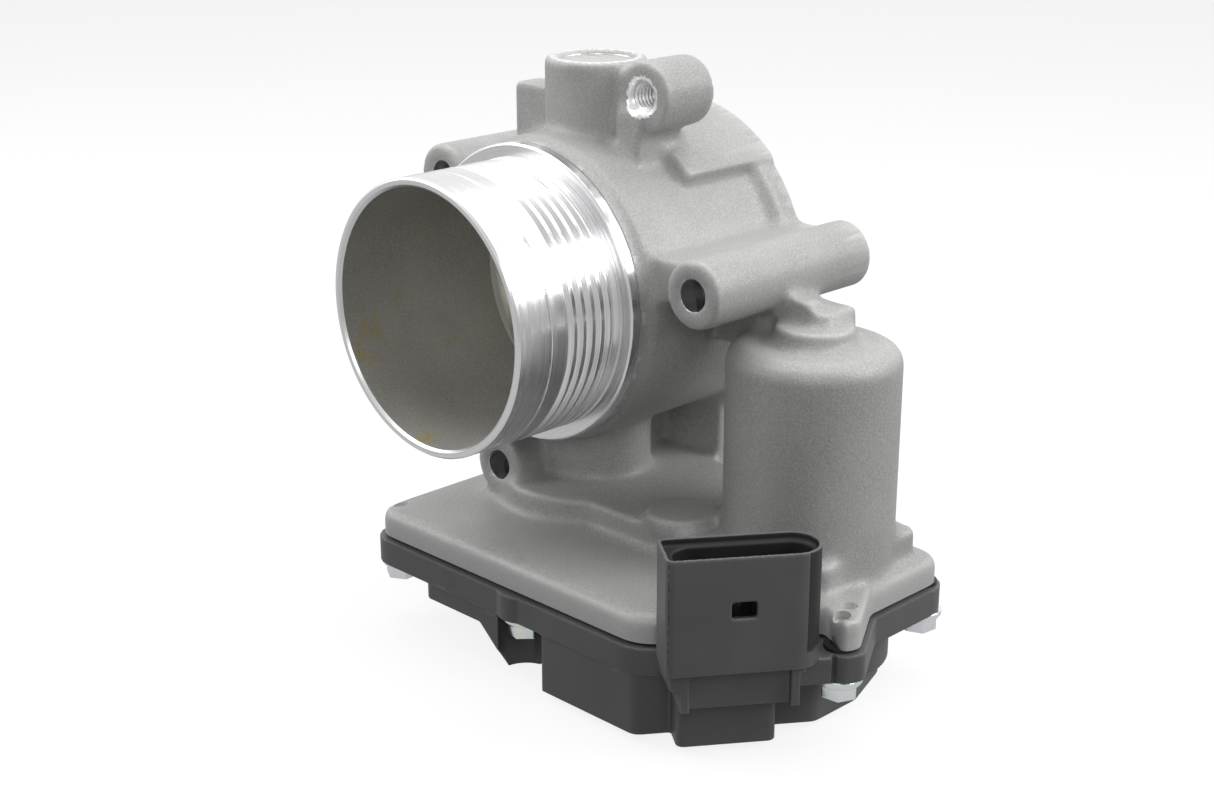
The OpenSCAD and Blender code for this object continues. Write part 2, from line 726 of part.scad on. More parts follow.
module shallow_outline(d) {
    circle(r = bulge_r + rim_out - d);
    polygon(rounded(inset([[-10.2, pocket_y0, 2], [20, pocket_y0, 2], [30, 10, 2], [-10.2, 10, 2]], d)));
}

// The corner between the shallow and the deep underside, cut off by one sloping face
ramp_x = 8.2;
ramp_turn = -28.5;
ramp_tilt = 29;
module ramp() difference() {
    block(ramp_x, 16, pocket_y0, -20, belly_z, shallow_z + 1);
    translate([ramp_x, pocket_y0, shallow_z]) rotate([0, 0, ramp_turn]) rotate([ramp_tilt, 0, 0])
        block(-15, 15, -20, 0, -25, 15);
    slab(belly_z - 1, rim_z) notch(0);
}

module shell_outside() {
    slab(rim_z, cover_top) {
        case_outline(-rim_out);
        lug_outline(-rim_out);
        for (p = cover_screw_pos) translate(p) circle(r = 4.1);
        translate(cover_screw_pos[1]) circle(r = middle_boss_r);
        circle(r = bulge_r + rim_out);
    }
    at_slant() block(26, 36.4, -2, rim_bridge_n, rim_z + 0.1, cover_top - 0.15);
    slab(shallow_z, rim_z + 1) difference() {
        shallow_outline(0);
        notch(0);
    }
    ramp();
    slab(deep_z, rim_z + 1) deep_outline(0);
    slab(belly_z, deep_z + 1) deep_outline(belly_inset);
    upright(motor_pos, 17.7, -71.3, rim_z + 1);
    upright([0, 0], 13, sensor_z, rim_z);
}

module shell_inside() {
    slab(rim_z + cover_wall, cover_top + 1) difference() {
        cover_room();
        for (p = cover_screw_pos) translate(p) circle(r = screw_boss_r);
    }
    slab(shallow_z + cover_wall, rim_z + cover_wall + 0.01) difference() {
        intersection() {
            shallow_outline(cover_wall);
            cover_room();
        }
        notch(cover_wall);
    }
    slab(deep_z + cover_wall, rim_z + cover_wall + 0.01) intersection() {
        deep_outline(cover_wall);
        cover_room();
    }
    upright(motor_pos, 15.4, -71.3 + cover_wall, rim_z + cover_wall + 1);
    upright([0, 0], 11, sensor_z + cover_wall, shallow_z + cover_wall + 1);
}

function socket_corners(d) = [
    [socket_u0 + d, socket_n0 + d, max(1.6 - d, 0.4)], [socket_u1 - d, socket_n0 + d, 5.6 - d],
    [socket_u1 - d, socket_n1 - d, 5.6 - d], [socket_u0 + d, socket_n1 - d, max(1.6 - d, 0.4)]
];
socket_mouth = [
    [socket_u0 + 2.2, socket_n0 + socket_wall, 4.2], [socket_u1 - socket_wall, socket_n0 + socket_wall, 4.2],
    [socket_u1 - socket_wall, socket_n1 - socket_wall, 4.2], [socket_u0 + 2.2, socket_n1 - socket_wall, 4.2]
];

module socket_outside() {
    slab(socket_foot, socket_top) polygon(rounded(socket_corners(0), 10));
    slab(foot_z, foot_top) polygon([[3.6, -2], [7.8, -2], [7.8, 11.4], [4.2, 11.4]]);
    slab(foot_z + 2, foot_top) polygon([[28.1, -2.1], [32, -2.1], [30.8, 11.3], [28.1, 11.3]]);
    for (u = [6.2, 27.9]) slab(rib_z, foot_top) translate([u, 0.2]) square([1.8, 11.3]);
    slab(rib_z + 0.1, foot_top - 0.05) translate([7, -2.2]) square([22, 12]);
    slab(deep_z, foot_top - 0.1) polygon(rounded([[6.6, -4, 1], [26.6, -4, 1], [26.6, 6.2, 1.6], [6.6, 6.2, 1.6]]));
}

module gear_cover() color([0.22, 0.22, 0.23]) in_place() difference() {
    union() {
        shell_outside();
        at_slant() socket_outside();
        upright(axle_pos, 5, deep_z + 1, axle_low + 1.2);
    }
    difference() {
        shell_inside();
        upright(axle_pos, 5, deep_z + 1, axle_low + 1.2);
    }
    upright(axle_pos, axle_r, axle_low, -60);
    at_slant() {
        slab(socket_floor, socket_top + 1) polygon(rounded(socket_mouth, 10));
        slab(socket_top - mouth_step, socket_top + 1) polygon(rounded(socket_corners(mouth_rim), 10));
        block(15.6, 20.5, socket_n1 - socket_wall - 1, socket_n1 + 1, -45.6, -42.2);
        slab(deep_z + cover_wall, rim_z - 3) polygon([[10, -6], [24.6, -6], [24.6, 4.2], [10, 4.2]]);
        for (k = [0 : blade_count - 1])
            block(blade_u0 + blade_pitch * k - 0.75, blade_u0 + blade_pitch * k + 0.75, 6.9, 7.7, -60.5, -50);
        block(blade_u0 - 1, blade_u0 + blade_pitch * (blade_count - 1) + 1, -6, 7.7, -61.3, -60.5);
    }
    for (p = cover_screw_pos) {
        upright(p, 2.8, rim_z - 1, cover_top + 1);
        upright(p, 5.1, belly_z - 1, rim_z);
    }
}

module connector_pins() color([0.8, 0.78, 0.7]) in_place() at_slant()
    for (k = [0 : blade_count - 1])
        block(blade_u0 + blade_pitch * k - 0.75, blade_u0 + blade_pitch * k + 0.75, 6.9, 7.7, -60.5, -41);

module lead_frame() color([0.72, 0.5, 0.3]) in_place() at_slant()
    for (k = [0 : blade_count - 1])
        block(blade_u0 + blade_pitch * k - 0.75, blade_u0 + blade_pitch * k + 0.75, -4.5, 7.7, -61.3, -60.5);

module sensor_board() color([0.1, 0.35, 0.2]) in_place() upright([0, 0], 10.8, sensor_z + cover_wall, sensor_z + 3);

module sensor_chip() color([0.08, 0.08, 0.08]) in_place() block(-3, 3, -2.5, 2.5, sensor_z + 3, sensor_z + 4.4);

module screw_sleeves() color([0.7, 0.7, 0.72]) in_place()
    for (p = cover_screw_pos) ring(p, 2.8, 2.1, rim_z, cover_top);

module cover_screws() color([0.8, 0.82, 0.85]) in_place()
    for (p = cover_screw_pos) {
        upright(p, pilot_r, rim_z - 0.5, -51.6);
        upright(p, 4.7, rim_z - 1.2, rim_z);
        upright(p, 4.3, rim_z - 1.6, rim_z - 1);
        translate([p[0], p[1], rim_z - 4.6]) cylinder(r = 3.9, h = 3.2, $fn = 6);
    }

housing();
shaft_plug();
upper_bearing();
upper_seal();
lower_seal();
lower_bearing_outer();
lower_bearing_balls();
lower_bearing_inner();
throttle_shaft();
throttle_plate();
plate_screws();
gear_insert();
sector_gear();
sensor_magnet();
return_spring();
intermediate_axle();
intermediate_bush();
intermediate_gear();
motor_can();
motor_magnets();
motor_bearings();
motor_end_cap();
motor_brushes();
motor_plate();
motor_screws();
motor_shaft();
armature();
commutator();
motor_pinion();
wave_spring();
motor_contacts();
cover_seal();
gear_cover();
connector_pins();
lead_frame();
sensor_board();
sensor_chip();
screw_sleeves();
cover_screws();
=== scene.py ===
# Electronic throttle body: the looks of the cast housing, the turned spigot, the moulded cover with its
# plug socket and the fasteners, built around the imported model. All lengths here are metres.
import json
import math

import bpy
from mathutils import Matrix, Vector

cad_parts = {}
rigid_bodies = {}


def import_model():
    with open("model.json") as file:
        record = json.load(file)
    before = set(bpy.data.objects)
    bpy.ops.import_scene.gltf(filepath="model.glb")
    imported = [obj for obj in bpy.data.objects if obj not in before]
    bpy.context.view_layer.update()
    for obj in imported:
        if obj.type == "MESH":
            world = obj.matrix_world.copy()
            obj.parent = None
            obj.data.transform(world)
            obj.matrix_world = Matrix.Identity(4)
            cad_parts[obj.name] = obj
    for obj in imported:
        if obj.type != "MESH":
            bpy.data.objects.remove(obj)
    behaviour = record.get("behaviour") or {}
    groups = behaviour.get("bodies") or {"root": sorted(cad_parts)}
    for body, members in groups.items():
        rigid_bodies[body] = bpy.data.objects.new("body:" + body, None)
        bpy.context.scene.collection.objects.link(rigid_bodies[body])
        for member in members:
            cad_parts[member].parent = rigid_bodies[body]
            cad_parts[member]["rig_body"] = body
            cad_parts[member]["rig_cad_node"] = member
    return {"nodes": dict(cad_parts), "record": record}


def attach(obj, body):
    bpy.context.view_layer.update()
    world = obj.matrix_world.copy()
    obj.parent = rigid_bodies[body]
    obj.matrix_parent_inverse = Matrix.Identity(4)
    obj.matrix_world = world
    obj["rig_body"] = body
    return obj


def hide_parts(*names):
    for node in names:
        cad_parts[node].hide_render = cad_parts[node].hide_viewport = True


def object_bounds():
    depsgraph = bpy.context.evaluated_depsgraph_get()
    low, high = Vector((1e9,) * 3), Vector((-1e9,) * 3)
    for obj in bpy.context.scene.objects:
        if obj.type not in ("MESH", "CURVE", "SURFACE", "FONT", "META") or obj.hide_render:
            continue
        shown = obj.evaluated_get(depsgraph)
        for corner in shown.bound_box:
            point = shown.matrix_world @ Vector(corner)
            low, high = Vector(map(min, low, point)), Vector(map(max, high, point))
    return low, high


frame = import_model()
cad_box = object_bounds()
nodes = frame["nodes"]
MM = 0.001
SHAFT_Y = -28.5  # the shaft axis, measured from the manifold face, in millimetres


def shaft(x, y, z):
    """A point given in millimetres from the shaft axis, in the shared frame."""
    return Vector((x, y + SHAFT_Y, z)) * MM


def deselect():
    for o in bpy.context.selected_objects:
        o.select_set(False)


def only(o):
    deselect()
    o.select_set(True)
    bpy.context.view_layer.objects.active = o


deselect()


# ---- making shapes ----
def modify(o, kind, **values):
    """Adds one modifier and applies it."""
    only(o)
    m = o.modifiers.new(kind.lower(), kind)
    for name, value in values.items():
        setattr(m, name, value)
    bpy.ops.object.modifier_apply(modifier=m.name)


def edit(o, *steps):
    """Runs steps in edit mode with everything selected."""
    only(o)
    bpy.ops.object.mode_set(mode="EDIT")
    bpy.ops.mesh.select_all(action="SELECT")
    for step in steps:
        step()
    bpy.ops.object.mode_set(mode="OBJECT")


def settle(o):
    """Puts the place of a primitive into its mesh."""
    only(o)
    bpy.ops.object.transform_apply(location=True, rotation=True, scale=True)
    return o


def smooth_by_angle(o, degrees=35):
    only(o)
    bpy.ops.object.shade_smooth_by_angle(angle=math.radians(degrees))


def rod(name, place, r, length, axis="Z", r2=None, sides=64):
    """A cylinder or cone from a place, length along an axis of the frame."""
    turn = {"Z": (0, 0, 0), "Y": (-math.pi / 2, 0, 0), "X": (0, math.pi / 2, 0)}[axis]
    step = {"Z": Vector((0, 0, 1)), "Y": Vector((0, 1, 0)), "X": Vector((1, 0, 0))}[axis]
    bpy.ops.mesh.primitive_cone_add(
        vertices=sides, radius1=r * MM, radius2=(r if r2 is None else r2) * MM, depth=length * MM,
        location=place + step * length * MM / 2, rotation=turn)
    o = bpy.context.object
    o.name = name
    return settle(o)


def slab(name, low, high):
    """A box between two corners given in millimetres from the shaft axis."""
    a, b = shaft(*low), shaft(*high)
    bpy.ops.mesh.primitive_cube_add(size=1, location=(a + b) / 2, scale=b - a)
    o = bpy.context.object
    o.name = name
    return settle(o)


def turned(name, profile, axis_place, axis="Y", steps=192):
    """A closed outline of [radius, height] points spun about an axis, as on a lathe."""
    bpy.ops.mesh.primitive_circle_add(vertices=len(profile), radius=MM, fill_type="NOTHING")
    o = bpy.context.object
    o.name = name
    for v, (r, h) in zip(o.data.vertices, profile):
        v.co = Vector((r * MM, 0, h * MM))
    only(o)
    bpy.ops.object.mode_set(mode="EDIT")
    bpy.ops.mesh.select_all(action="SELECT")
    bpy.ops.mesh.spin(steps=steps, angle=2 * math.pi, center=(0, 0, 0), axis=(0, 0, 1))
    bpy.ops.mesh.select_all(action="SELECT")
    bpy.ops.mesh.remove_doubles(threshold=2e-6)
    bpy.ops.mesh.normals_make_consistent(inside=False)
    bpy.ops.object.mode_set(mode="OBJECT")
    spin = Matrix.Rotation(-math.pi / 2, 4, "X") if axis == "Y" else Matrix.Identity(4)
    o.data.transform(Matrix.Translation(axis_place) @ spin)
    return settle(o)


def cut(o, tool):
    """Cuts a tool's shape out of a piece, and removes the tool."""
    modify(o, "BOOLEAN", object=tool, operation="DIFFERENCE", solver="MANIFOLD")
    bpy.data.objects.remove(tool)


def join(o, *others):
    """Gathers meshes into one object."""
    only(o)
    for other in others:
        other.select_set(True)
    bpy.ops.object.join()
    return o


def copy_of(node, name):
    """A merged copy of a CAD node, free of the frame."""
    only(nodes[node])
    bpy.ops.object.duplicate()
    o = bpy.context.object
    o.parent = None
    o.name = name
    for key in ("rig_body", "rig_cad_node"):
        del o[key]
    edit(o, lambda: bpy.ops.mesh.remove_doubles(threshold=2e-6),
         lambda: bpy.ops.mesh.normals_make_consistent(inside=False))
    return o


def recast(o, voxel, swell, passes):
    """Rebuilds a shape as a casting: inside corners fill out, then every edge softens."""
    modify(o, "REMESH", mode="VOXEL", voxel_size=voxel * MM, use_smooth_shade=True)
    if swell:
        modify(o, "DISPLACE", strength=swell * MM, mid_level=0)
        modify(o, "REMESH", mode="VOXEL", voxel_size=voxel * MM, use_smooth_shade=True)
        modify(o, "DISPLACE", strength=-swell * MM, mid_level=0)
        modify(o, "REMESH", mode="VOXEL", voxel_size=voxel * MM, use_smooth_shade=True)
    modify(o, "SMOOTH", factor=0.5, iterations=passes)


def thin_to(o, triangles):
    """Simplifies a mesh to about so many triangles."""
    modify(o, "TRIANGULATE")
    count = len(o.data.polygons)
    if count > triangles:
        modify(o, "DECIMATE", ratio=triangles / count)


# ---- effects shared by the materials ----
def group(name, inputs, outputs):
    """An empty shader node group with named sockets: {name: (kind, value)} in, {name: kind} out."""
    g = bpy.data.node_groups.new(name, "ShaderNodeTree")
    for label, (kind, value) in inputs.items():
        socket = g.interface.new_socket(name=label, in_out="INPUT", socket_type="NodeSocket" + kind)
        if value is not None:
            socket.default_value = value
    for label, kind in outputs.items():
        g.interface.new_socket(name=label, in_out="OUTPUT", socket_type="NodeSocket" + kind)
    return g, g.nodes.new("NodeGroupInput"), g.nodes.new("NodeGroupOutput")


def node(tree, kind, values=(), **links):
    """Adds a node, sets its attributes and feeds its sockets: a number is set, a socket is linked."""
    n = tree.nodes.new("ShaderNode" + kind)
    for name, value in dict(values).items():
        setattr(n, name, value)
    for name, value in links.items():
        found = n.inputs[int(name[1:])] if name[1:].isdigit() else n.inputs[name.replace("_", " ")]
        if isinstance(value, bpy.types.NodeSocket):
            tree.links.new(value, found)
        else:
            found.default_value = value
    return n


def sum_of(tree, a, b, share):
    """a and b blended, with share of b."""
    return node(tree, "Mix", _0=share, _2=a, _3=b).outputs[0]


def between(tree, value, low, high, to_low=0.0, to_high=1.0):
    """value carried from low..high to to_low..to_high, and held inside it."""
    return node(tree, "MapRange", {"clamp": True}, Value=value, From_Min=low, From_Max=high,
                To_Min=to_low, To_Max=to_high).outputs[0]


def part_of(tree, value, share):
    """value times a fixed share."""
    return node(tree, "Math", {"operation": "MULTIPLY"}, _0=value, _1=share).outputs[0]


def build_sand():
    """The skin that a sand-blasted mould leaves: pits, specks of bright metal and slow stains."""
    g, enter, leave = group("sand_skin", {"Vector": ("Vector", None)}, {
        "Height": "Float", "Speck": "Float", "Stain": "Float"})
    at = enter.outputs["Vector"]
    fine = node(g, "TexNoise", Vector=at, Scale=2600, Detail=3, Roughness=0.65).outputs[0]
    mid = node(g, "TexNoise", Vector=at, Scale=900, Detail=3, Roughness=0.6).outputs[0]
    slow = node(g, "TexNoise", Vector=at, Scale=38, Detail=4, Roughness=0.55).outputs[0]
    pits = node(g, "TexVoronoi", Vector=at, Scale=1500).outputs["Distance"]
    height = sum_of(g, sum_of(g, fine, mid, 0.5), pits, 0.3)
    g.links.new(height, leave.inputs["Height"])
    g.links.new(between(g, fine, 0.42, 0.62), leave.inputs["Speck"])
    g.links.new(between(g, slow, 0.3, 0.7), leave.inputs["Stain"])
    return g


def build_turning():
    """Fine rings left by a lathe on surfaces around the bore's axis."""
    g, enter, leave = group("lathe_rings", {"Vector": ("Vector", None)}, {"Height": "Float", "Streak": "Float"})
    parts = node(g, "SeparateXYZ", Vector=enter.outputs["Vector"])
    flat = node(g, "CombineXYZ", X=parts.outputs["X"], Z=parts.outputs["Z"]).outputs[0]
    radius = node(g, "VectorMath", {"operation": "LENGTH"}, _0=flat).outputs["Value"]
    along = node(g, "Math", {"operation": "ADD"}, _0=radius, _1=parts.outputs["Y"]).outputs[0]
    rings = node(g, "TexNoise", {"noise_dimensions": "1D"}, W=along, Scale=5200, Detail=2).outputs[0]
    wide = node(g, "TexNoise", {"noise_dimensions": "1D"}, W=along, Scale=700, Detail=3).outputs[0]
    g.links.new(rings, leave.inputs["Height"])
    g.links.new(between(g, wide, 0.35, 0.65), leave.inputs["Streak"])
    return g


def build_mould():
    """The faint texture and flow marks of moulded plastic."""
    g, enter, leave = group("mould_skin", {"Vector": ("Vector", None)}, {"Height": "Float", "Flow": "Float"})
    at = enter.outputs["Vector"]
    fine = node(g, "TexNoise", Vector=at, Scale=3200, Detail=2).outputs[0]
    spark = node(g, "TexVoronoi", Vector=at, Scale=2100).outputs["Distance"]
    flow = node(g, "TexNoise", Vector=at, Scale=55, Detail=3, Distortion=0.6).outputs[0]
    g.links.new(sum_of(g, fine, spark, 0.4), leave.inputs["Height"])
    g.links.new(between(g, flow, 0.3, 0.7), leave.inputs["Flow"])
    return g


def build_edges():
    """Masks from the curve of the surface: a painted highlight where a corner stands out, painted shade where
    it folds in.
    """
    g, _, leave = group("corners", {}, {"painted_edge_highlight": "Float", "painted_crease_shade": "Float"})
    point = g.nodes.new("ShaderNodeNewGeometry").outputs["Pointiness"]
    g.links.new(between(g, point, 0.508, 0.56), leave.inputs["painted_edge_highlight"])
    g.links.new(between(g, point, 0.492, 0.44), leave.inputs["painted_crease_shade"])
    return g


SAND, TURNING, MOULD, CORNERS = build_sand(), build_turning(), build_mould(), build_edges()


# ---- materials ----
def shader(name, metallic, roughness):
    """A new material with one Principled shader: its tree, that shader and the object coordinates."""
    m = bpy.data.materials.new(name)
    m.use_nodes = True
    tree = m.node_tree
    p = tree.nodes["Principled BSDF"]
    p.inputs["Metallic"].default_value = metallic
    p.inputs["Roughness"].default_value = roughness
    return m, tree, p, tree.nodes.new("ShaderNodeTexCoord").outputs["Object"]


def use(tree, made, at=None):
    """Places a shared effect in a material, and returns what it puts out."""
    n = tree.nodes.new("ShaderNodeGroup")
    n.node_tree = made
    if at is not None:
        tree.links.new(at, n.inputs["Vector"])
    return n.outputs


def mixed(tree, share, a, b):
    """Colour a, or b by share."""
    n = tree.nodes.new("ShaderNodeMix")
    n.data_type = "RGBA"
    for socket, value in ((n.inputs[0], share), (n.inputs[6], a), (n.inputs[7], b)):
        if isinstance(value, bpy.types.NodeSocket):
            tree.links.new(value, socket)
        else:
            socket.default_value = (*value, 1) if isinstance(value, tuple) else value
    return n.outputs[2]


def bump(tree, p, height, strength, distance):
    """Raises a shader's surface by a height mask; distance is in metres."""
    n = node(tree, "Bump", Height=height, Strength=strength, Distance=distance)
    tree.links.new(n.outputs[0], p.inputs["Normal"])


SKIRT_TOP, SKIRT_FULL = -0.0505, -0.0516  # where the lighter lower side of the gear case begins; the colour turns lighter by height alone


def casting(name, dark, light, metallic, roughness, depth, soot=None):
    """Sand-blasted cast aluminium; with soot, the stained wall of the inlet."""
    m, tree, p, at = shader(name, metallic, roughness)
    sand, corner = use(tree, SAND, at), use(tree, CORNERS)
    colour = mixed(tree, sand["Stain"], dark, light)
    if soot:
        patch = node(tree, "TexNoise", Vector=at, Scale=75, Detail=5, Roughness=0.6, Distortion=0.4).outputs[0]
        colour = mixed(tree, between(tree, patch, 0.6, 0.72, 0, 0.8), colour, soot)
    colour = mixed(tree, part_of(tree, sand["Speck"], 0.4), colour, tuple(min(1, c * 1.45) for c in light))
    if not soot:
        # the gear case is made lighter towards its bottom, by height
        height = node(tree, "SeparateXYZ", Vector=at).outputs["Z"]
        colour = mixed(tree, between(tree, height, SKIRT_TOP, SKIRT_FULL, 0, 0.6), colour, (0.68, 0.68, 0.675))
        # painted highlight: the edges that stand out are made paler
        colour = mixed(tree, part_of(tree, corner["painted_edge_highlight"], 0.5), colour, (0.8, 0.8, 0.79))
        # painted shade: the creases where the surface folds in are made darker
        colour = mixed(tree, part_of(tree, corner["painted_crease_shade"], 0.45), colour, tuple(c * 0.45 for c in dark))
    tree.links.new(colour, p.inputs["Base Color"])
    tree.links.new(between(tree, sand["Speck"], 0, 1, roughness + 0.1, roughness - 0.12), p.inputs["Roughness"])
    bump(tree, p, sand["Height"], 0.55, depth)
    return m


def turned_metal(name, colour, roughness):
    """Machined metal with the rings of its cut."""
    m, tree, p, at = shader(name, 1.0, roughness)
    rings = use(tree, TURNING, at)
    streak = rings["Streak"]
    tree.links.new(mixed(tree, streak, tuple(c * 0.86 for c in colour), colour), p.inputs["Base Color"])
    tree.links.new(between(tree, streak, 0, 1, roughness * 1.5, roughness * 0.8), p.inputs["Roughness"])
    bump(tree, p, rings["Height"], 0.35, 0.00001)
    return m


def plain_metal(name, colour, roughness):
    """Bar or sheet metal with a slow change of tone."""
    m, tree, p, at = shader(name, 1.0, roughness)
    grain = use(tree, MOULD, at)
    tree.links.new(mixed(tree, grain["Flow"], tuple(c * 0.82 for c in colour), colour), p.inputs["Base Color"])
    tree.links.new(between(tree, grain["Flow"], 0, 1, roughness * 1.3, roughness * 0.85), p.inputs["Roughness"])
    bump(tree, p, grain["Height"], 0.2, 0.00001)
    return m


def moulding(name, dark, light, roughness):
    """Moulded plastic or rubber, with a painted highlight along its edges."""
    m, tree, p, at = shader(name, 0.0, roughness)
    skin, corner = use(tree, MOULD, at), use(tree, CORNERS)
    colour = mixed(tree, skin["Flow"], dark, light)
    # painted highlight: the edges that stand out are made paler
    colour = mixed(tree, part_of(tree, corner["painted_edge_highlight"], 0.45), colour, tuple(min(1, c * 1.9) for c in light))
    tree.links.new(colour, p.inputs["Base Color"])
    tree.links.new(between(tree, skin["Flow"], 0, 1, roughness - 0.06, roughness + 0.08), p.inputs["Roughness"])
    bump(tree, p, skin["Height"], 0.35, 0.00003)
    return m


def zinc(name):
    """Bright zinc with the faint rainbow of its passivation."""
    m, tree, p, at = shader(name, 1.0, 0.25)
    film = node(tree, "TexNoise", Vector=at, Scale=140, Detail=2, Distortion=1.5).outputs[0]
    ramp = tree.nodes.new("ShaderNodeValToRGB")
    tree.links.new(film, ramp.inputs[0])
    hues = [(0.3, (0.86, 0.9, 0.96)), (0.45, (0.95, 0.92, 0.98)),
            (0.55, (0.84, 0.96, 0.92)), (0.7, (0.97, 0.95, 0.84))]
    ramp.color_ramp.elements[0].position, ramp.color_ramp.elements[1].position = hues[0][0], hues[-1][0]
    for place, hue in hues[1:-1]:
        ramp.color_ramp.elements.new(place)
    for element, (place, hue) in zip(ramp.color_ramp.elements, hues):
        element.color = (*hue, 1)
    tree.links.new(ramp.outputs[0], p.inputs["Base Color"])
    grain = use(tree, MOULD, at)
    tree.links.new(between(tree, grain["Flow"], 0, 1, 0.32, 0.18), p.inputs["Roughness"])
    bump(tree, p, grain["Height"], 0.25, 0.00001)
    return m


def dress(o, material):
    """Gives a piece its only material."""
    o.data.materials.clear()
    o.data.materials.append(material)


cast_skin = casting("cast_aluminium", (0.4, 0.4, 0.395), (0.52, 0.52, 0.51), 0.12, 0.5, 0.0002)
cast_skin.node_tree.nodes["Principled BSDF"].inputs["Specular IOR Level"].default_value = 0.35
inlet_skin = casting(
    "cast_inlet", (0.36, 0.36, 0.33), (0.5, 0.49, 0.45), 0.05, 0.6, 0.00012, soot=(0.5, 0.38, 0.04))
bright_turned = turned_metal("turned_aluminium", (0.84, 0.84, 0.85), 0.2)
bored = turned_metal("bored_aluminium", (0.97, 0.96, 0.93), 0.34)
bored.node_tree.nodes["Principled BSDF"].inputs["Metallic"].default_value = 0.45
milled = turned_metal("milled_aluminium", (0.85, 0.85, 0.85), 0.32)
cover_plastic = moulding("cover_plastic", (0.105, 0.107, 0.109), (0.135, 0.137, 0.14), 0.42)
# near-black plastic for the inside of the plug socket: painted shade, darker than the cover's own plastic,
# which it really is
socket_painted_shade = moulding("socket_inside_painted_shade", (0.008, 0.008, 0.008), (0.014, 0.014, 0.014), 0.6)
zinc_plate = zinc("zinc_plate")
FINISHES = {
    "plug_steel": turned_metal("plug_steel", (0.62, 0.62, 0.6), 0.34),
    "bearing_steel": plain_metal("bearing_steel", (0.62, 0.63, 0.65), 0.22),
    "seal_rubber": moulding("seal_rubber", (0.008, 0.008, 0.008), (0.014, 0.014, 0.014), 0.6),
    "shaft_steel": plain_metal("shaft_steel", (0.72, 0.72, 0.73), 0.2),
    "plate_brass": plain_metal("plate_brass", (0.88, 0.84, 0.74), 0.28),
    "screw_steel": plain_metal("screw_steel", (0.4, 0.4, 0.41), 0.35),
    "gear_plastic_dark": moulding("gear_plastic_dark", (0.02, 0.02, 0.022), (0.035, 0.035, 0.037), 0.42),
    "gear_plastic_light": moulding("gear_plastic_light", (0.6, 0.58, 0.5), (0.68, 0.66, 0.58), 0.4),
    "magnet": moulding("magnet", (0.03, 0.03, 0.032), (0.06, 0.06, 0.062), 0.5),
    "spring_steel": plain_metal("spring_steel", (0.5, 0.5, 0.5), 0.3),
    "bronze": plain_metal("bronze", (0.6, 0.42, 0.22), 0.35),
    "can_steel": plain_metal("can_steel", (0.6, 0.61, 0.62), 0.3),
    "carbon": moulding("carbon", (0.02, 0.02, 0.02), (0.04, 0.04, 0.04), 0.7),
    "winding_copper": plain_metal("winding_copper", (0.75, 0.38, 0.2), 0.3),
    "pinion_brass": plain_metal("pinion_brass", (0.83, 0.64, 0.3), 0.26),
    "contact_brass": plain_metal("contact_brass", (0.8, 0.6, 0.3), 0.28),
    "contact_tin": plain_metal("contact_tin", (0.78, 0.77, 0.74), 0.25),
    "board_green": moulding("board_green", (0.02, 0.1, 0.04), (0.03, 0.14, 0.06), 0.4),
    "chip_black": moulding("chip_black", (0.012, 0.012, 0.012), (0.02, 0.02, 0.02), 0.45),
    "zinc_plate": zinc_plate,
    "cover_plastic": cover_plastic,
    "cast_aluminium": cast_skin,
}
slots = {part["node"]: part["material_slot"] for part in frame["record"]["subparts"]}
for name, o in nodes.items():
    dress(o, FINISHES[slots[name]])

# ---- the cast housing ----
# Millimetres from the shaft axis: bolt bosses as (across, up, front face), the bracket boss's front, then
# the places of the case's holes seen from above, the manifold face, and the seam with the cover
POSTS = [(45.4, 8.1, -18.8), (-38, 18.1, -11.5), (-10.2, -41.6, -20.9)]
BRACKET = (18, -4.7, 41.9)
SCREWS = [(-24.4, -37.4), (17.5, -38.6), (81.6, -13.6), (74.2, 22.4), (24.5, 21.9), (-24, 21.9)]
LUG_HOLE = (79.6, -8.9)
SHALLOW_HOLE = (81.3, -13)
FACE = 28.5
SEAM = -56
SPARE = 3  # stock left below the seam and behind the face, cut off after the casting is softened

cast = copy_of("housing", "cast_housing")
for v in cast.data.vertices:
    if abs(v.co.z - SEAM * MM) < 1e-5:
        v.co.z -= SPARE * MM
    if abs(v.co.y) < 1e-5:
        v.co.y += SPARE * MM
plugs = [rod("plug", shaft(x, y + 1.5, z), 3.6, FACE - y, "Y") for x, z, y in POSTS]
plugs.append(rod("plug", shaft(BRACKET[0], BRACKET[1] + 1, BRACKET[2]), 3.4, 12.6, "Y"))
plugs += [rod("plug", shaft(x, y, -55), 2, 4.4) for x, y in SCREWS + [LUG_HOLE]]


def torn(place, size, cuts, rough, seed, turn=(0, 0, 0)):
    """A broken stub of a casting gate: a block with a ragged surface."""
    bpy.ops.mesh.primitive_cube_add(size=1, location=shaft(*place), rotation=turn, scale=Vector(size) * MM)
    o = settle(bpy.context.object)
    edit(o, lambda: bpy.ops.mesh.subdivide(number_cuts=cuts, fractal=rough, seed=seed))
    return o


stubs = [
    torn((54.5, 7.2, 2.2), (9, 7, 4.5), 3, 1.5, 3, (0, 0.35, 0.5)),
    torn((58.6, 5.2, 1.6), (6, 5, 4.2), 3, 1.8, 8, (0.3, 0.2, 1.1)),
    torn((41, 5.6, -2.2), (11, 3.4, 3.8), 3, 1.6, 5, (0, 0.1, 0.1)),
    torn((38.2, -8.6, 9), (2.6, 3, 3.2), 2, 1.4, 6),
    torn((-14, 1.5, 39), (5, 5, 4), 2, 1.2, 9, (0, 0, 0.2)),
]
join(cast, *plugs, *stubs)
recast(cast, 0.66, 0.7, 6)
thin_to(cast, 196000)


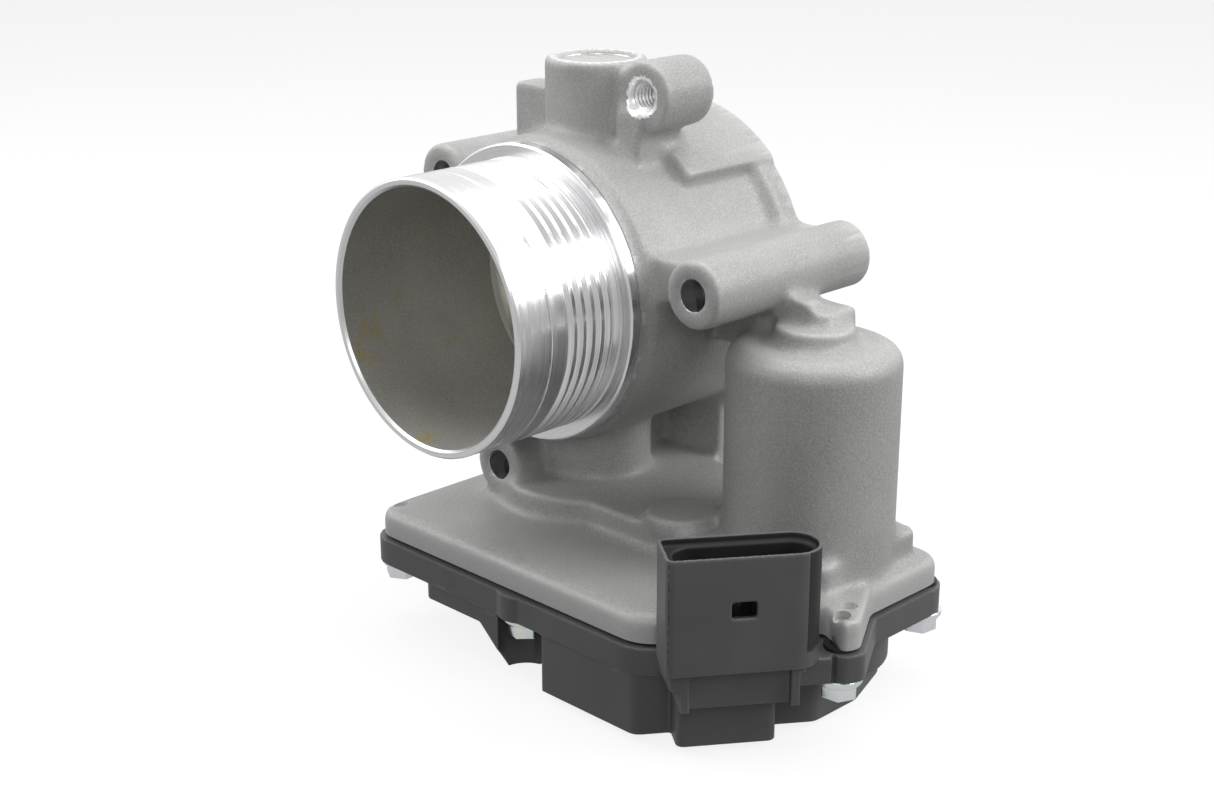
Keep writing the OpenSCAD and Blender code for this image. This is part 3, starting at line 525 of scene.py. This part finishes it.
bore = turned("tool", [
    (0, -60), (27.7, -60), (27.7, -49.4), (27.1, -48.8), (26.7, -7.5), (26, -6), (26, 26), (27.5, 26),
    (27.5, 40), (0, 40)], shaft(0, 0, 0))
cut(cast, bore)
cut(cast, rod("tool", shaft(0, -70, 0), 34, 70 - 18.7, "Y", sides=128))
cut(cast, slab("tool", (-60, -60, -70), (100, 60, SEAM)))
cut(cast, slab("tool", (-80, FACE, -80), (120, 60, 80)))
for x, z, y in POSTS:
    cut(cast, rod("tool", shaft(x, y - 5, z), 3.35, FACE - y + 10, "Y"))
cut(cast, rod("tool", shaft(BRACKET[0], BRACKET[1] - 4, BRACKET[2]), 3, 16.5, "Y"))
cut(cast, rod("tool", shaft(BRACKET[0], BRACKET[1] - 0.6, BRACKET[2]), 4.3, 1.8, "Y", r2=2.5))
cut(cast, rod("tool", shaft(0, 0, 44), 7.7, 10))
for x, y in [SCREWS[0], SCREWS[2], LUG_HOLE]:
    cut(cast, rod("tool", shaft(x, y, SEAM - 1), 1.7, 8))
    cut(cast, rod("tool", shaft(x, y, -50.5), 1.5, 1, r2=2.2))
cut(cast, rod("tool", shaft(*SHALLOW_HOLE, -51.7), 1.6, 3))
smooth_by_angle(cast, 40)
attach(cast, "root")
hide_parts("housing")
dress(cast, cast_skin)


def paint(o, material, test):
    """Gives another material to the faces whose middle, in millimetres from the shaft, passes a test."""
    o.data.materials.append(material)
    index = len(o.data.materials) - 1
    for face in o.data.polygons:
        c = face.center / MM
        if test(c.x, c.y - SHAFT_Y, c.z, face.normal):
            face.material_index = index


def near(value, goal, room=0.03):
    return abs(value - goal) < room


BORED = -9.8  # the machined throat begins here


def in_bore(x, y, z, n):
    """On the wall of the bore, from the collar to the manifold face."""
    return math.hypot(x, z) < 27.65 and abs(z) < 27.6 and y < FACE + 1


def is_milled(x, y, z, n):
    """On a face or hole that a cutter made after casting."""
    port = math.hypot(x, y) < 11.5 and z > 47 and n.z > 0.97
    drilled = any(math.hypot(x - a, z - b) < 3.4 for a, b, _ in POSTS)
    tapped = math.hypot(x - BRACKET[0], z - BRACKET[2]) < 4.3 and y < BRACKET[1] + 13
    return near(y, FACE) or near(z, SEAM) or port or drilled or tapped or (math.hypot(x, y) < 7.75 and z > 43.9)


paint(cast, inlet_skin, lambda x, y, z, n: in_bore(x, y, z, n) and y < BORED)
paint(cast, bored, lambda x, y, z, n: in_bore(x, y, z, n) and y >= BORED)
paint(cast, milled, is_milled)

# ---- the turned spigot ----
LIP, BAND_END, RIDGES, COLLAR = -49.4, -36.8, 6, -18.7
PITCH = (COLLAR - 3 - BAND_END) / RIDGES
ridges = [point for k in range(RIDGES) for point in (
    (29, BAND_END + PITCH * k), (28.3, BAND_END + PITCH * k + 0.6), (28.3, BAND_END + PITCH * k + 1.1),
    (29, BAND_END + PITCH * (k + 1) - 0.5))]
spigot = turned("turned_spigot", [
    (27.1, -48.8), (27.6, LIP), (28.6, LIP), (29, LIP + 0.4),
    (29, -41), (28.9, -40.9), (28.9, -40.7), (29, -40.6),
    *ridges, (29, COLLAR - 3), (31.6, COLLAR - 3), (32, COLLAR - 2.6), (32, COLLAR - 0.4), (31.6, COLLAR),
    (26.81, COLLAR)], shaft(0, 0, 0), steps=256)
modify(spigot, "BEVEL", width=0.07 * MM, segments=2, limit_method="ANGLE", angle_limit=math.radians(14))
smooth_by_angle(spigot, 9)
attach(spigot, "root")
dress(spigot, bright_turned)
paint(spigot, inlet_skin, lambda x, y, z, n: math.hypot(x, z) < 27.2 and y > -48.7 and y < COLLAR - 0.01)

# ---- the thread in the bracket boss ----
bpy.ops.mesh.primitive_circle_add(vertices=4, radius=MM, fill_type="NOTHING")
thread = bpy.context.object
thread.name = "bracket_thread"
TOOTH = ((3.06, -0.47), (2.52, -0.06), (2.52, 0.06), (3.06, 0.47))  # radius and height of one turn's section
for v, (r, h) in zip(thread.data.vertices, TOOTH):
    v.co = Vector((r, 0, h)) * MM
modify(thread, "SCREW", axis="Z", screw_offset=1 * MM, iterations=11, steps=40, render_steps=40,
       use_merge_vertices=False)
edit(thread, lambda: bpy.ops.mesh.select_all(action="DESELECT"),
     lambda: bpy.ops.mesh.select_non_manifold(extend=False), lambda: bpy.ops.mesh.fill(use_beauty=True),
     lambda: bpy.ops.mesh.select_all(action="SELECT"),
     lambda: bpy.ops.mesh.normals_make_consistent(inside=False))
thread.data.transform(Matrix.Translation(shaft(BRACKET[0], BRACKET[1] + 0.9, BRACKET[2]))
                      @ Matrix.Rotation(-math.pi / 2, 4, "X"))
smooth_by_angle(thread, 30)
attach(thread, "root")
dress(thread, milled)

# ---- the moulded cover with its plug socket ----
cover = copy_of("gear_cover", "cover_moulding")
backing = [slab("wall", (15, -33.6, -76), (25, -31, -62.5)), slab("wall", (10.5, -34, -67), (16, -31, -62.5))]
join(cover, *backing)  # thickens the wall behind the notch for the front screw
recast(cover, 0.3, 0, 2)
thin_to(cover, 190000)
smooth_by_angle(cover, 45)
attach(cover, "root")
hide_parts("gear_cover")
dress(cover, cover_plastic)
SLANT, SLANT_START = math.radians(54), (54.4, -42.4)


def in_socket(x, y, z, n):
    """Inside the plug socket, whose own axes run along the case's slanted wall and out of it."""
    dx, dy = x - SLANT_START[0], y - SLANT_START[1]
    along = dx * math.cos(SLANT) + dy * math.sin(SLANT)
    out = dx * math.sin(SLANT) - dy * math.cos(SLANT)
    return 3.45 < along < 33.55 and 1.85 < out < 12.45 and -53.6 < z < -33.2


# the faces inside the plug socket get the painted shade
paint(cover, socket_painted_shade, in_socket)

# ---- the cover's flange screws ----
RIM = -62.5
HEAD_TURN = 0.31  # each head stands a little further round than the last
heads = []
for turn, (x, y) in enumerate(SCREWS):
    head = rod("head", shaft(x, y, RIM - 4.6), 3.9, 3.6, sides=6)
    edit(head, lambda: bpy.ops.mesh.bevel(offset=0.3 * MM, segments=3, affect="EDGES"))
    head.data.transform(Matrix.Translation(shaft(x, y, 0)) @ Matrix.Rotation(HEAD_TURN * turn, 4, "Z")
                        @ Matrix.Translation(-shaft(x, y, 0)))
    flange = turned("flange", [
        (0, RIM - 2), (3.7, RIM - 2), (4.2, RIM - 1.7), (4.6, RIM - 1.15), (4.7, RIM - 0.9), (4.7, RIM - 0.15),
        (4.55, RIM), (1.8, RIM), (1.8, -52), (1.4, -51.6), (0, -51.6)], shaft(x, y, 0), axis="Z", steps=64)
    heads += [head, flange]
screws = join(*heads)
screws.name = "flange_screws"
smooth_by_angle(screws, 30)
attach(screws, "root")
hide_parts("cover_screws")
dress(screws, zinc_plate)

# ---- camera, floor and light ----
bpy.ops.object.camera_add(location=shaft(290.5, -286.3, 111.2))
camera = bpy.context.object
camera.name = "camera"
camera.data.sensor_width = 36
camera.data.lens = 57.14
camera.data.clip_end = 20
aim = shaft(1.6, 1.6, -30.1) - camera.location
camera.rotation_euler = aim.to_track_quat("-Z", "Y").to_euler()
bpy.context.scene.camera = camera

floor_z = min(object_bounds()[0].z, cad_box[0].z) - 0.0002
bpy.ops.mesh.primitive_circle_add(vertices=96, radius=4, fill_type="NGON", location=(0, 0, floor_z))
floor = settle(bpy.context.object)
floor.name = "floor"
paper = bpy.data.materials.new("pale_floor")
paper.use_nodes = True
tree = paper.node_tree
tree.nodes.remove(tree.nodes["Principled BSDF"])
seen = node(tree, "BsdfDiffuse", Color=(0.22, 0.22, 0.22, 1))
glow = node(tree, "Emission", Color=(1, 1, 1, 1), Strength=0.85)
both = node(tree, "AddShader", _0=seen.outputs[0], _1=glow.outputs[0])
bounced = node(tree, "BsdfDiffuse", Color=(0.1, 0.1, 0.1, 1))
path = node(tree, "LightPath")
direct = node(tree, "Math", {"operation": "ADD"}, _0=path.outputs["Is Camera Ray"],
              _1=part_of(tree, path.outputs["Is Glossy Ray"], 0.5))
pick = node(tree, "MixShader", _0=direct.outputs[0], _1=bounced.outputs[0], _2=both.outputs[0])
tree.links.new(pick.outputs[0], tree.nodes["Material Output"].inputs["Surface"])
floor.data.materials.append(paper)


def soft_box(name, place, width, height, power):
    """A soft light aimed at the middle of the piece; sizes in millimetres."""
    bpy.ops.object.light_add(type="AREA", location=shaft(*place))
    light = bpy.context.object
    light.name = name
    light.data.shape = "RECTANGLE"
    light.data.size, light.data.size_y = width * MM, height * MM
    light.data.energy = power
    light.rotation_euler = (shaft(0, 0, -20) - light.location).to_track_quat("-Z", "Y").to_euler()


soft_box("light_above", (-60, 120, 620), 900, 700, 3.0)
soft_box("light_left", (-500, -330, 380), 520, 500, 1.8)
soft_box("light_right", (540, 330, 380), 420, 420, 2.6)
soft_box("light_front", (430, -450, 330), 240, 240, 0.6)

world = bpy.data.worlds.new("studio")
bpy.context.scene.world = world
world.use_nodes = True
back = world.node_tree.nodes["Background"]
back.inputs["Color"].default_value = (1, 1, 1, 1)
tree = world.node_tree
side = node(tree, "SeparateXYZ", Vector=tree.nodes.new("ShaderNodeTexCoord").outputs["Generated"]).outputs["X"]
mirrored = between(tree, side, -0.3, 0.5, 1.0, 0.55)
shiny = node(tree, "LightPath").outputs["Is Glossy Ray"]
tree.links.new(sum_of(tree, 0.14, mirrored, shiny), back.inputs["Strength"])
bpy.context.scene.view_settings.view_transform = "Standard"
